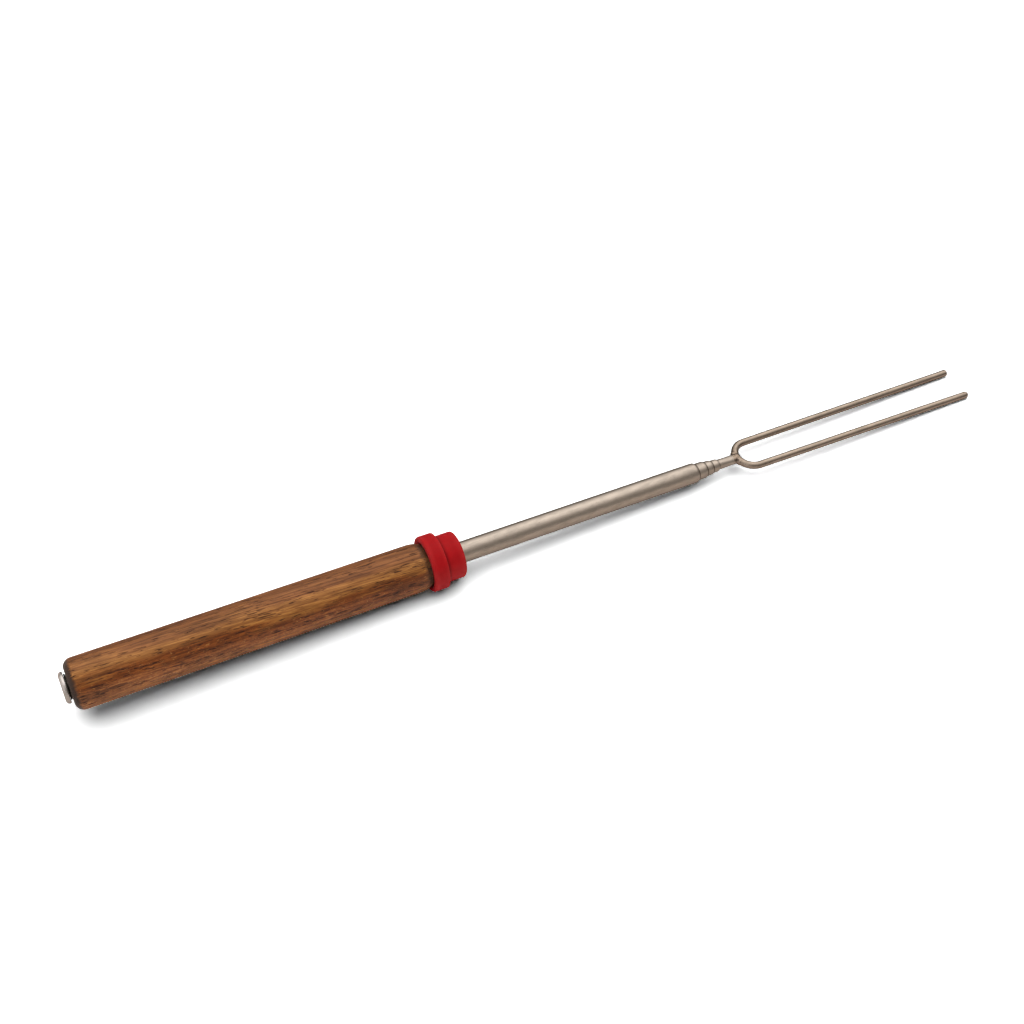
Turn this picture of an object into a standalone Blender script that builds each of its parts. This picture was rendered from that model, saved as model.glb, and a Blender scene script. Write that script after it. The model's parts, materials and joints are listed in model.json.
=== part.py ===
"""Telescoping campfire roasting fork.

A wooden handle is bored through for a steel tube that turns freely in it. A thumb wheel
pressed on the tube spins it, and an end button keeps it from pulling out forwards. Four
thinner tubes slide out of one another, and the innermost carries a two-tine wire fork.

Frame: metres, +Z up. The origin is the centre of the end button's flat rear face, +X runs
along the shaft towards the tines, and both tines lie in the XY plane. Everything is shown
pushed together. Stations are distances along the shaft from the origin.
"""

import math

import bmesh
import bpy

MM = 0.001

# Roundness: segments around each kind of turned piece (multiples of 4).
TUBE_STEPS = 24
GRIP_STEPS = 40
WHEEL_STEPS = 48

# Tubes: outer radius of each, from the main tube inwards, and the walls.
MAIN_RADIUS = 3.50 * MM
STAGE_RADII = [2.95 * MM, 2.60 * MM, 2.25 * MM, 1.90 * MM]
MAIN_WALL = 0.35 * MM
STAGE_WALL = 0.25 * MM

# Front ends of the tubes that have a rolled lip.
MAIN_FRONT = 215.5 * MM
STAGE_FRONTS = [219.0 * MM, 221.6 * MM, 224.2 * MM]

# Drawn-down neck of the innermost tube.
NECK_START = 224.0 * MM
NECK_TAPER = 0.8 * MM
NECK_FRONT = 230.7 * MM
NECK_RADIUS = 1.75 * MM

# Rolled-in lips: how far they reach back, and the slide clearance they leave.
LIP_LENGTH = 0.9 * MM
LIP_CLEARANCE = 0.04 * MM
LIP_POINTS = 3

# Friction springs, and the groove near the rear of each sliding tube that seats them.
SPRING_THICKNESS = 0.345 * MM
SPRING_CLEARANCE = 0.025 * MM
SPRING_LENGTH = 7.4 * MM
SPRING_HALF_ANGLE = 75.0  # degrees each way from the middle
GROOVE_CLEARANCE = 0.05 * MM
GROOVE_LENGTH = 8.0 * MM
GROOVE_REAR = 2.4 * MM
GROOVE_TAPER = 0.6 * MM
STACK_GAP = 0.3 * MM

# End button: flat disc with a rounded rear edge, and a plug pressed into the main tube.
BUTTON_RADIUS = 4.9 * MM
BUTTON_THICKNESS = 1.5 * MM
BUTTON_ROUND = 1.1 * MM
BUTTON_CHAMFER = 0.2 * MM
BUTTON_GAP = 0.05 * MM
PLUG_RADIUS = 3.08 * MM
PLUG_FRONT = 11.5 * MM

# Wooden grip: slightly thicker at the rear. Its front eases in, then rounds into the wheel.
GRIP_REAR = 2.10 * MM
GRIP_FRONT = 116.3 * MM
GRIP_REAR_RADIUS = 8.1 * MM
GRIP_FRONT_RADIUS = 7.9 * MM
GRIP_REAR_ROUND = 2.8 * MM
GRIP_EASE_START = 110.8 * MM
GRIP_EASE_ROUND = 13.0 * MM
GRIP_FRONT_ROUND = 2.0 * MM
GRIP_BORE = 4.35 * MM

# Bushings in the ends of the bore, and thrust washers: rear face, front face, radius.
BUSHING_RADIUS = 4.25 * MM
BUSHING_BORE = 3.60 * MM
BUSHING_LENGTH = 12.0 * MM
REAR_WASHER = (1.55 * MM, 2.05 * MM, 4.00 * MM)
FRONT_WASHER = (116.40 * MM, 116.90 * MM, 4.10 * MM)
WASHER_BORE = 3.56 * MM

# Thumb wheel: a large rear ring and a small front one. The grip's nose runs in its hollow rear.
WHEEL_REAR = 115.3 * MM
WHEEL_STEP = 120.4 * MM
WHEEL_FRONT = 127.0 * MM
WHEEL_LARGE_RADIUS = 9.2 * MM
WHEEL_SMALL_RADIUS = 7.7 * MM
WHEEL_REAR_ROUND = 0.9 * MM
WHEEL_STEP_ROUND = 0.4 * MM
WHEEL_FRONT_ROUND = 0.9 * MM
WHEEL_BORE = 3.55 * MM
WHEEL_RECESS_RADIUS = 7.60 * MM
WHEEL_RECESS_DEPTH = 2.4 * MM
WHEEL_HUB_RADIUS = 4.4 * MM
WHEEL_HUB_REAR = 117.0 * MM

# Wire fork: a U whose legs spread slightly towards the tips.
WIRE_RADIUS = 1.30 * MM
FORK_BASE = 232.4 * MM
FORK_TIP = 326.4 * MM
FORK_BASE_SPACING = 11.6 * MM
FORK_TIP_SPACING = 12.6 * MM
FORK_BEND_POINTS = 16

# Weld bead between the neck and the base of the U.
WELD_CENTRE = 230.9 * MM
WELD_SIZE = (1.6 * MM, 2.4 * MM, 1.95 * MM)
WELD_GAP = 0.03 * MM
WELD_SEGMENTS = 16

SHARP_ANGLE = math.radians(35)

# name: (red, green, blue, roughness, metallic), linear colours
MATERIALS = {
    "wood": (0.22, 0.075, 0.024, 0.38, 0.0),
    "red_plastic": (0.44, 0.016, 0.021, 0.42, 0.0),
    "satin_steel": (0.56, 0.52, 0.48, 0.30, 1.0),
    "fork_steel": (0.42, 0.35, 0.30, 0.30, 1.0),
    "button_steel": (0.66, 0.64, 0.62, 0.28, 1.0),
    "nylon": (0.03, 0.03, 0.03, 0.50, 0.0),
    "spring_brass": (0.62, 0.43, 0.18, 0.30, 1.0),
}


def clear_scene():
    """Remove whatever the scene holds."""
    for obj in list(bpy.data.objects):
        bpy.data.objects.remove(obj, do_unlink=True)


def make_collection(name):
    """Make a collection under the scene."""
    collection = bpy.data.collections.new(name)
    bpy.context.scene.collection.children.link(collection)
    return collection


def make_material(name):
    """Make a plain Principled material from its row in MATERIALS."""
    red, green, blue, roughness, metallic = MATERIALS[name]
    material = bpy.data.materials.new(name)
    material.use_nodes = True
    shader = material.node_tree.nodes["Principled BSDF"]
    shader.inputs["Base Color"].default_value = (red, green, blue, 1.0)
    shader.inputs["Roughness"].default_value = roughness
    shader.inputs["Metallic"].default_value = metallic
    material.diffuse_color = (red, green, blue, 1.0)
    return material


clear_scene()
fork = make_collection("roasting_fork")
cutters = make_collection("cutters")
materials = {name: make_material(name) for name in MATERIALS}


def make_empty(name, station, parent=None):
    """Make a marker on the shaft's axis; moving pieces hang on it."""
    empty = bpy.data.objects.new(name, None)
    empty.empty_display_size = 0.01
    fork.objects.link(empty)
    empty["station"] = station
    empty.parent = parent
    empty.location.x = station - (parent["station"] if parent else 0.0)
    return empty


def settle(obj, material, parent, station=0.0):
    """Give a piece its material and hang it on its marker, at a station on the shaft."""
    obj.data.materials.clear()
    obj.data.materials.append(materials[material])
    obj.parent = parent
    obj.location.x = station - (parent["station"] if parent else 0.0)
    return obj


def bake(obj):
    """Replace a piece's mesh with its evaluated one, without modifiers, shaded smooth."""
    depsgraph = bpy.context.evaluated_depsgraph_get()
    mesh = bpy.data.meshes.new_from_object(obj.evaluated_get(depsgraph))
    mesh.name = obj.name
    obj.modifiers.clear()
    obj.data = mesh
    mesh.shade_smooth()
    mesh.set_sharp_from_angle(angle=SHARP_ANGLE)
    return obj


def turned(name, outline, steps, closed=True, collection=fork):
    """Turn an outline of (station, radius) points about the shaft.

    The outline runs from the front to the rear on the outside, and back along the bore.
    """
    mesh = bpy.data.meshes.new(name)
    points = [(radius, 0.0, station) for station, radius in outline]
    edges = [(i, i + 1) for i in range(len(points) - 1)]
    if closed:
        edges.append((len(points) - 1, 0))
    mesh.from_pydata(points, edges, [])
    obj = bpy.data.objects.new(name, mesh)
    collection.objects.link(obj)
    screw = obj.modifiers.new("Turn", "SCREW")
    screw.axis = "Z"
    screw.angle = 2 * math.pi
    screw.steps = steps
    screw.render_steps = steps
    screw.use_merge_vertices = True
    screw.merge_threshold = 1e-6
    bake(obj)
    obj.rotation_euler.y = math.pi / 2
    return obj


def arc(station, radius, size, start, end, points):
    """Points of a round corner: centre, corner radius, and start and end angles.

    Angles are in degrees, 0 towards the front and 90 away from the shaft.
    """
    steps = [start + (end - start) * i / (points - 1) for i in range(points)]
    return [
        (station + size * math.cos(math.radians(a)), radius + size * math.sin(math.radians(a)))
        for a in steps
    ]


def sleeve(rear, front, outer, bore):
    """Outline of a plain ring."""
    return [(front, outer), (rear, outer), (rear, bore), (front, bore)]


def lip_outline(front, radius, lip_radius, wall):
    """Front end of a tube, rolled in to lip_radius: its outside and its inside points."""
    outside = []
    inside = []
    for i in range(LIP_POINTS + 1):
        turn = math.radians(90.0 * i / LIP_POINTS)
        back = LIP_LENGTH * (1 - math.cos(turn))
        outside.append((front - back, lip_radius + (radius - lip_radius) * math.sin(turn)))
    bore = radius - wall
    inside.append((front - LIP_LENGTH, bore))
    inside.append((front - wall, lip_radius))
    return outside, inside


def groove_outline(rear, radius, groove_radius, wall):
    """Spring groove near a tube's rear end: its outside and its inside points."""
    start = rear + GROOVE_REAR
    end = start + GROOVE_LENGTH
    stations = [end + GROOVE_TAPER, end, start, start - GROOVE_TAPER]
    radii = [radius, groove_radius, groove_radius, radius]
    outside = list(zip(stations, radii)) + [(rear, radius)]
    inside = [(station, r - wall) for station, r in reversed(outside)]
    return outside, inside


def main_bore():
    """Bore radius of the main tube."""
    return MAIN_RADIUS - MAIN_WALL


def stage_rear(index):
    """Station of a sliding tube's rear end: behind it is the groove of the tube outside it."""
    pitch = GROOVE_REAR + GROOVE_LENGTH + GROOVE_TAPER + STACK_GAP
    return PLUG_FRONT + STACK_GAP + index * pitch


def stage_bore_around(index):
    """Bore radius of the tube that a sliding tube runs in."""
    if index == 0:
        return main_bore()
    return STAGE_RADII[index - 1] - STAGE_WALL


def spring_radii(index):
    """Inner and outer radius of a sliding tube's friction springs."""
    outer = stage_bore_around(index) - SPRING_CLEARANCE
    return outer - SPRING_THICKNESS, outer


def grip_nose():
    """Front of the grip: a broad round that eases in, met by a small round at the face."""
    centre = GRIP_FRONT_RADIUS - GRIP_EASE_ROUND
    reach = GRIP_EASE_ROUND - GRIP_FRONT_ROUND
    meet = math.degrees(math.acos((GRIP_FRONT - GRIP_FRONT_ROUND - GRIP_EASE_START) / reach))
    corner_station = GRIP_EASE_START + reach * math.cos(math.radians(meet))
    corner_radius = centre + reach * math.sin(math.radians(meet))
    face = arc(corner_station, corner_radius, GRIP_FRONT_ROUND, 0, meet, 5)
    ease = arc(GRIP_EASE_START, centre, GRIP_EASE_ROUND, meet, 90, 5)
    return face + ease[1:]


def build_grip():
    """Wooden handle with rounded ends and a bore right through."""
    front = grip_nose()
    rear = arc(
        GRIP_REAR + GRIP_REAR_ROUND, GRIP_REAR_RADIUS - GRIP_REAR_ROUND, GRIP_REAR_ROUND, 90, 180, 6
    )
    outline = front + rear + [(GRIP_REAR, GRIP_BORE), (GRIP_FRONT, GRIP_BORE)]
    settle(turned("handle_grip", outline, GRIP_STEPS), "wood", None)


def build_bushings():
    """Plain sleeves, flush with the ends of the grip."""
    rear = sleeve(GRIP_REAR, GRIP_REAR + BUSHING_LENGTH, BUSHING_RADIUS, BUSHING_BORE)
    front = sleeve(GRIP_FRONT - BUSHING_LENGTH, GRIP_FRONT, BUSHING_RADIUS, BUSHING_BORE)
    settle(turned("rear_bushing", rear, TUBE_STEPS), "nylon", None)
    settle(turned("front_bushing", front, TUBE_STEPS), "nylon", None)


def build_washers(spindle):
    """Thrust washers at both ends of the grip; they turn with the tube."""
    rear, front, radius = REAR_WASHER
    outline = sleeve(rear, front, radius, WASHER_BORE)
    settle(turned("rear_washer", outline, TUBE_STEPS), "satin_steel", spindle)
    rear, front, radius = FRONT_WASHER
    outline = sleeve(rear, front, radius, WASHER_BORE)
    settle(turned("front_washer", outline, TUBE_STEPS), "nylon", spindle)


def build_main_tube(spindle):
    """Outer steel tube, from the end button through the handle to its rolled front lip."""
    lip_radius = STAGE_RADII[0] + LIP_CLEARANCE
    outside, inside = lip_outline(MAIN_FRONT, MAIN_RADIUS, lip_radius, MAIN_WALL)
    rear = BUTTON_THICKNESS + BUTTON_GAP
    outline = outside + [(rear, MAIN_RADIUS), (rear, main_bore())] + inside
    settle(turned("main_tube", outline, TUBE_STEPS), "satin_steel", spindle)


def build_end_button(spindle):
    """Disc with a rounded rim and a plug that is pressed into the main tube."""
    plug = [
        (PLUG_FRONT, 0.0),
        (PLUG_FRONT, PLUG_RADIUS - BUTTON_CHAMFER),
        (PLUG_FRONT - BUTTON_CHAMFER, PLUG_RADIUS),
        (BUTTON_THICKNESS, PLUG_RADIUS),
    ]
    disc = [
        (BUTTON_THICKNESS, BUTTON_RADIUS - BUTTON_CHAMFER),
        (BUTTON_THICKNESS - BUTTON_CHAMFER, BUTTON_RADIUS),
    ]
    edge = arc(BUTTON_ROUND, BUTTON_RADIUS - BUTTON_ROUND, BUTTON_ROUND, 90, 180, 4)
    outline = plug + disc + edge + [(0.0, 0.0)]
    button = turned("end_button", outline, WHEEL_STEPS, closed=False)
    settle(button, "button_steel", spindle)


def build_thumb_wheel(spindle):
    """Two stepped rings moulded as one, with a hub inside the hollow rear."""
    front = WHEEL_FRONT_ROUND
    step = WHEEL_STEP_ROUND
    rear = WHEEL_REAR_ROUND
    floor = WHEEL_REAR + WHEEL_RECESS_DEPTH
    outline = (
        [(WHEEL_FRONT, WHEEL_BORE)]
        + arc(WHEEL_FRONT - front, WHEEL_SMALL_RADIUS - front, front, 0, 90, 4)
        + [(WHEEL_STEP, WHEEL_SMALL_RADIUS)]
        + arc(WHEEL_STEP - step, WHEEL_LARGE_RADIUS - step, step, 0, 90, 3)
        + arc(WHEEL_REAR + rear, WHEEL_LARGE_RADIUS - rear, rear, 90, 180, 4)
        + [
            (WHEEL_REAR, WHEEL_RECESS_RADIUS),
            (floor, WHEEL_RECESS_RADIUS),
            (floor, WHEEL_HUB_RADIUS),
            (WHEEL_HUB_REAR, WHEEL_HUB_RADIUS),
            (WHEEL_HUB_REAR, WHEEL_BORE),
        ]
    )
    settle(turned("thumb_wheel", outline, WHEEL_STEPS), "red_plastic", spindle)


def build_stage_tube(index, marker):
    """Sliding tube with a spring groove; the last one ends in a slim neck, the others in a lip."""
    rear = stage_rear(index)
    radius = STAGE_RADII[index]
    groove_radius = spring_radii(index)[0] - GROOVE_CLEARANCE
    groove_out, groove_in = groove_outline(rear, radius, groove_radius, STAGE_WALL)
    if index < len(STAGE_FRONTS):
        lip_radius = STAGE_RADII[index + 1] + LIP_CLEARANCE
        front_out, front_in = lip_outline(STAGE_FRONTS[index], radius, lip_radius, STAGE_WALL)
    else:
        front_out = [
            (NECK_FRONT, NECK_RADIUS),
            (NECK_START + NECK_TAPER, NECK_RADIUS),
            (NECK_START, radius),
        ]
        front_in = [(station, r - STAGE_WALL) for station, r in reversed(front_out)]
    outline = front_out + groove_out + groove_in + front_in
    name = f"stage_{index + 1}_tube"
    settle(turned(name, outline, TUBE_STEPS), "satin_steel", marker)


def half_spring(name, inner, outer, middle_angle):
    """Friction spring: an arc-shaped band, slightly shorter than its groove."""
    step = 360.0 / TUBE_STEPS
    count = int(2 * SPRING_HALF_ANGLE / step)
    angles = [middle_angle - SPRING_HALF_ANGLE + step * i for i in range(count + 1)]
    band = [(outer, angle) for angle in angles] + [(inner, angle) for angle in reversed(angles)]
    curve = bpy.data.curves.new(name, "CURVE")
    curve.dimensions = "2D"
    curve.fill_mode = "BOTH"
    curve.extrude = SPRING_LENGTH / 2
    spline = curve.splines.new("POLY")
    spline.points.add(len(band) - 1)
    for point, (radius, angle) in zip(spline.points, band):
        turn = math.radians(angle)
        point.co = (radius * math.cos(turn), radius * math.sin(turn), 0.0, 1.0)
    spline.use_cyclic_u = True
    obj = bpy.data.objects.new(name, curve)
    fork.objects.link(obj)
    obj.rotation_euler.y = math.pi / 2
    return obj


def build_springs(index, marker):
    """Upper and lower friction spring in a sliding tube's groove."""
    inner, outer = spring_radii(index)
    middle = stage_rear(index) + GROOVE_REAR + GROOVE_LENGTH / 2
    for side, angle in (("upper", 180.0), ("lower", 0.0)):
        spring = half_spring(f"stage_{index + 1}_spring_{side}", inner, outer, angle)
        settle(spring, "spring_brass", marker, middle)


def fork_path():
    """Centre line of the fork wire: tip, bend at the base, other tip."""
    bend = FORK_BASE_SPACING / 2
    centre = FORK_BASE + bend
    tip = FORK_TIP_SPACING / 2
    path = [(FORK_TIP, -tip)]
    for i in range(FORK_BEND_POINTS + 1):
        turn = math.pi * (1.5 - i / FORK_BEND_POINTS)
        path.append((centre + bend * math.cos(turn), bend * math.sin(turn)))
    path.append((FORK_TIP, tip))
    return path


def wire_curve(name, path, radius, collection):
    """Round wire with closed ends along a path in the XY plane."""
    curve = bpy.data.curves.new(name, "CURVE")
    curve.dimensions = "3D"
    curve.bevel_depth = radius
    curve.bevel_resolution = 2
    curve.use_fill_caps = True
    spline = curve.splines.new("POLY")
    spline.points.add(len(path) - 1)
    for point, (x, y) in zip(spline.points, path):
        point.co = (x, y, 0.0, 1.0)
    obj = bpy.data.objects.new(name, curve)
    collection.objects.link(obj)
    return obj


def curve_to_mesh(obj, collection):
    """Turn a curve object into a closed mesh object of the same name and place."""
    depsgraph = bpy.context.evaluated_depsgraph_get()
    mesh = bpy.data.meshes.new_from_object(obj.evaluated_get(depsgraph))
    welded = bmesh.new()
    welded.from_mesh(mesh)
    bmesh.ops.remove_doubles(welded, verts=welded.verts, dist=1e-6)
    welded.to_mesh(mesh)
    welded.free()
    name = obj.name
    matrix = obj.matrix_world.copy()
    bpy.data.objects.remove(obj, do_unlink=True)
    solid = bpy.data.objects.new(name, mesh)
    solid.matrix_world = matrix
    collection.objects.link(solid)
    return solid


def make_cutter(obj):
    """Mark a solid as a cutter, which isn't part of the fork."""
    obj.hide_render = True
    obj.display_type = "WIRE"
    return obj


def build_fork_wire(marker):
    """Wire fork: a U-shaped base and two tines."""
    settle(wire_curve("fork_wire", fork_path(), WIRE_RADIUS, fork), "fork_steel", marker)


def build_fork_weld(marker):
    """Weld bead: an egg shape cut back from the wire and from the neck."""
    wire = wire_curve("weld_wire_cutter", fork_path(), WIRE_RADIUS + WELD_GAP, cutters)
    wire = make_cutter(curve_to_mesh(wire, cutters))
    neck_radius = NECK_RADIUS + WELD_GAP
    neck_end = NECK_FRONT + WELD_GAP
    neck_outline = [(neck_end, 0.0), (neck_end, neck_radius), (NECK_START, neck_radius), (NECK_START, 0.0)]
    neck = turned("weld_neck_cutter", neck_outline, TUBE_STEPS, closed=False, collection=cutters)
    make_cutter(neck)
    egg = bmesh.new()
    bmesh.ops.create_uvsphere(egg, u_segments=WELD_SEGMENTS, v_segments=WELD_SEGMENTS // 2, radius=1.0)
    bmesh.ops.scale(egg, vec=WELD_SIZE, verts=egg.verts)
    bmesh.ops.translate(egg, vec=(WELD_CENTRE, 0.0, 0.0), verts=egg.verts)
    mesh = bpy.data.meshes.new("fork_weld")
    egg.to_mesh(mesh)
    egg.free()
    weld = bpy.data.objects.new("fork_weld", mesh)
    fork.objects.link(weld)
    for cutter in (wire, neck):
        cut = weld.modifiers.new("Clear " + cutter.name, "BOOLEAN")
        cut.operation = "DIFFERENCE"
        cut.solver = "EXACT"
        cut.object = cutter
    bake(weld)
    settle(weld, "fork_steel", marker)


def build_handle():
    """The pieces held still in the hand."""
    build_grip()
    build_bushings()


def build_spindle():
    """The pieces that the thumb wheel turns; the marker is on their axis."""
    spindle = make_empty("spindle_axis", 0.0)
    build_main_tube(spindle)
    build_end_button(spindle)
    build_thumb_wheel(spindle)
    build_washers(spindle)
    return spindle


def build_stages(spindle):
    """The four sliding tubes, each on the one outside it, and the fork on the last."""
    marker = spindle
    for index in range(len(STAGE_RADII)):
        marker = make_empty(f"stage_{index + 1}_slide", stage_rear(index), marker)
        build_stage_tube(index, marker)
        build_springs(index, marker)
    build_fork_wire(marker)
    build_fork_weld(marker)


build_handle()
build_stages(build_spindle())
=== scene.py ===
"""Looks of the telescoping campfire roasting fork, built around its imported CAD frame.

Every piece is made again with its fine shape and its own procedural material, in the place
that the CAD gives it, and rides on the body of the CAD node it stands for. +X runs along
the shaft from the end button to the tine tips, both tines lie in the XY plane, +Z is up.
"""

import json
import math

import bmesh
import bpy
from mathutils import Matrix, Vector, noise

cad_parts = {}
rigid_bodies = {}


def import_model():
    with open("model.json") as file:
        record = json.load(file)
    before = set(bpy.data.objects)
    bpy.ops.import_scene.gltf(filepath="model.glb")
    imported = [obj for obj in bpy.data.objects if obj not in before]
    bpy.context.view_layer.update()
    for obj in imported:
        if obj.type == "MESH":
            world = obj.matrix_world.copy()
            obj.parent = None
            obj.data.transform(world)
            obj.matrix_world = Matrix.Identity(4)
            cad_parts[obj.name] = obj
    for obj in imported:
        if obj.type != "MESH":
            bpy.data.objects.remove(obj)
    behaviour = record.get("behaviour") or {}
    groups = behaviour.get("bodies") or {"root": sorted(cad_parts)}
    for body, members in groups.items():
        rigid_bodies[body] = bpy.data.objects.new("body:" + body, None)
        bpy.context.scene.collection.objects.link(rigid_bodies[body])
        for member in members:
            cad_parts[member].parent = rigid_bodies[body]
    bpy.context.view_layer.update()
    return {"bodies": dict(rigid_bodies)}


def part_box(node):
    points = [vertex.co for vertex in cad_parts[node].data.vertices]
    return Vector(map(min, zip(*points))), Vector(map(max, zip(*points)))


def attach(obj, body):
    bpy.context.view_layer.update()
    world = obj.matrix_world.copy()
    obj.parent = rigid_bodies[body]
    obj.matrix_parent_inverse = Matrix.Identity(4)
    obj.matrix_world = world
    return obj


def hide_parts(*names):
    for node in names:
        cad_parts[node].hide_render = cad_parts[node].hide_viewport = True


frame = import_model()

MM = 0.001
STAGES = 4

# Walls and clearances of the tubes, and their rolled lips.
MAIN_WALL = 0.35 * MM
STAGE_WALL = 0.25 * MM
LIP_LENGTH = 0.9 * MM
LIP_CLEARANCE = 0.11 * MM
LIP_POINTS = 9
TUBE_STEPS = 72

# Marks on the tubes: polish is above 0, painted shade below.
LIP_POLISH = 0.6
LIP_SHADE = -0.9
INSIDE_SHADE = -0.8
SHADE_RING = ((0.55, 0.0), (0.30, LIP_SHADE), (-0.30, LIP_SHADE), (-0.60, 0.0))  # mm ahead of the lip, mark (painted shade below 0)
SHADE_FADE = 0.6 * MM
GROOVE_POLISH = 0.3
# Painted shade along the spring groove's edges and on its floor.
GROOVE_EDGE_SHADE = -0.5
GROOVE_SHADE = -0.6

# Spring groove near the rear end of each sliding tube.
GROOVE_REAR = 2.4 * MM
GROOVE_LENGTH = 8.0 * MM
GROOVE_TAPER = 0.6 * MM
GROOVE_SOFTEN = 0.12 * MM
GROOVE_CLEARANCE = 0.05 * MM
END_CHAMFER_LENGTH = 0.1 * MM
END_CHAMFER_DEPTH = 0.08 * MM
END_INSIDE_CHAMFER = 0.03 * MM
CAD_SPRING_THICKNESS = 0.345 * MM  # sets the groove's floor, as in the CAD
SPRING_HALF_ANGLE = 75.0
SPRING_BOW = 0.10 * MM
SPRING_THICKNESS = 0.30 * MM
SPRING_STEPS = 40
SPRING_POINTS = 12

# Wooden grip.
GRIP_BORE = 4.35 * MM
GRIP_TAPER = 0.2 * MM
GRIP_REAR_ROUND = 2.8 * MM
GRIP_EASE_LENGTH = 5.5 * MM  # from the start of the nose to the front face
GRIP_EASE_ROUND = 13.0 * MM
GRIP_FRONT_ROUND = 2.0 * MM
GRIP_STEPS = 256
GRIP_RINGS = 220
GRIP_RELIEF = 0.07 * MM

# Sleeves and thrust washers.
BUSHING_BORE = 3.60 * MM
BUSHING_CHAMFER = 0.25 * MM
WASHER_BORE = 3.56 * MM
WASHER_CHAMFER = 0.12 * MM

# Thumb wheel.
WHEEL_STEP_STATION = 5.1 * MM  # from the wheel's rear face to the step
WHEEL_SMALL_RADIUS = 7.7 * MM
WHEEL_BORE = 3.55 * MM
WHEEL_RECESS_RADIUS = 7.60 * MM
WHEEL_RECESS_DEPTH = 2.4 * MM
WHEEL_HUB_RADIUS = 4.4 * MM
WHEEL_HUB_LENGTH = 0.7 * MM
WHEEL_NOSE_ROUND = 0.9 * MM
WHEEL_STEP_ROUND = 0.3 * MM
WHEEL_TAIL_ROUND = 0.9 * MM
WHEEL_SMALL_ROUND = 0.25 * MM
WHEEL_STEPS = 160

# End button.
BUTTON_THICKNESS = 1.5 * MM
BUTTON_ROUND = 1.1 * MM
BUTTON_FRONT_ROUND = 0.22 * MM
BUTTON_RING_DEPTH = 0.018 * MM
BUTTON_RINGS = 18
PLUG_RADIUS = 3.08 * MM
PLUG_CHAMFER = 0.2 * MM

# Neck of the innermost tube.
NECK_REAR_RADIUS = 1.78 * MM
NECK_SIDE_RADIUS = 1.82 * MM
NECK_TOP_RADIUS = 1.60 * MM
NECK_START = 6.7 * MM  # back from the tube's front end
NECK_TAPER = 0.8 * MM
NECK_RINGS = 26
TAPER_RINGS = 8
# Painted shade inside the neck.
NECK_INSIDE_SHADE = -0.5

# Fork wire.
WIRE_RADIUS = 1.30 * MM
FORK_BASE_SPACING = 11.6 * MM
WIRE_STEPS = 40
NEAR_TIP_ROUND = 0.95 * MM
FAR_TIP_ROUND = 0.50 * MM
TIP_POINTS = 9
TIP_POLISH = 0.5
WIRE_WAVE = 0.07 * MM
WAVES_PER_METRE = 45
TINE_POINTS = 46
BEND_POINTS = 48

# Weld bead. Each lump in mm: place ahead of the base's centre line, to the side, height; half axes.
WELD_MIDDLE_LUMPS = (
    ((-0.35, 0.0, 0.18), (1.70, 1.90, 1.50)),
    ((-1.60, 0.0, 0.10), (1.80, 1.88, 1.60)),
    ((-3.00, 0.0, 0.02), (1.80, 1.84, 1.56)),
)
WELD_SIDE_LUMP = ((-0.25, 1.7, 0.05), (1.25, 1.5, 1.30))
WELD_ARM_LUMPS = 18
WELD_ARM_ANGLE = 0.75  # radians of the bend that the bead covers on each side
WELD_VOXEL = 0.09 * MM
WELD_SMOOTHING = 36
# Dent in the bead, also darkened as painted shade.
PIT_PLACE = (-1.1, -1.75, 0.95)
PIT_SIZE = 0.42
PIT_DEPTH = 0.30

# Camera at the viewing angle: place, and turn about X, Y and Z.
CAMERA_PLACE = (2.0 * MM, -270.5 * MM, 345.2 * MM)
CAMERA_TURN = (42.47, -1.92, -25.92)
CAMERA_LENS = 50.0
CAMERA_SHIFT = (-0.00025, 0.00075)

# Brightness of the surroundings by angle about the shaft: 0 is up, positive towards the camera.
STUDIO_LEVELS = (
    (-90, 0.10), (-78, 0.24), (-60, 0.72), (-42, 1.16), (-20, 1.28),
    (4, 1.04), (24, 0.60), (44, 0.28), (70, 0.20), (88, 0.38),
)
STUDIO_STRENGTH = 1.3
BUTT_PANEL = (0.62, 0.59, 0.57, 1.0)  # light card off the butt, that the end button mirrors

# The floor's colour by who looks: the camera, the bounced light, and the metal that mirrors it.
FLOOR_SEEN = (1.90, 1.90, 1.90, 1.0)
FLOOR_BOUNCE = (1.3, 1.24, 1.18, 1.0)
# The floor as metal mirrors it is painted dim, as painted shade in the reflection.
FLOOR_MIRRORED = (0.62, 0.54, 0.48, 1.0)
FLOOR_MIRRORED_BEHIND = (0.10, 0.085, 0.075, 1.0)
FLOOR_HALF = 4.0

# Lights: name, strength, width and tilt in degrees.
SUNS = (("key", 2.85, 80.0, 7.0), ("fill", 0.30, 170.0, 0.0))

SHARP_ANGLE = math.radians(40)


def srgb(red, green, blue):
    """Linear colour from 8-bit screen values."""
    return tuple(((c / 255 + 0.055) / 1.055) ** 2.4 for c in (red, green, blue)) + (1.0,)


# ---------------------------------------------------------------- shader helpers


def node(tree, kind, inputs=None, **settings):
    """Add a shader node; each input takes a value or the socket to link from."""
    made = tree.nodes.new("ShaderNode" + kind)
    for key, value in settings.items():
        setattr(made, key, value)
    for key, value in (inputs or {}).items():
        if isinstance(value, bpy.types.NodeSocket):
            tree.links.new(value, made.inputs[key])
        else:
            made.inputs[key].default_value = value
    return made


def maths(tree, operation, first, second=0.0, clamp=False):
    """Arithmetic on two values or sockets."""
    made = node(tree, "Math", {0: first, 1: second}, operation=operation, use_clamp=clamp)
    return made.outputs[0]


def millimetres(tree, turn=(0.0, 0.0, 0.0)):
    """The piece's own coordinates in millimetres, turned by Euler angles in degrees."""
    spot = node(tree, "TexCoord").outputs["Object"]
    rotation = [math.radians(a) for a in turn]
    scale = (1 / MM, 1 / MM, 1 / MM)
    return node(tree, "Mapping", {"Vector": spot, "Rotation": rotation, "Scale": scale}).outputs[0]


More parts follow.
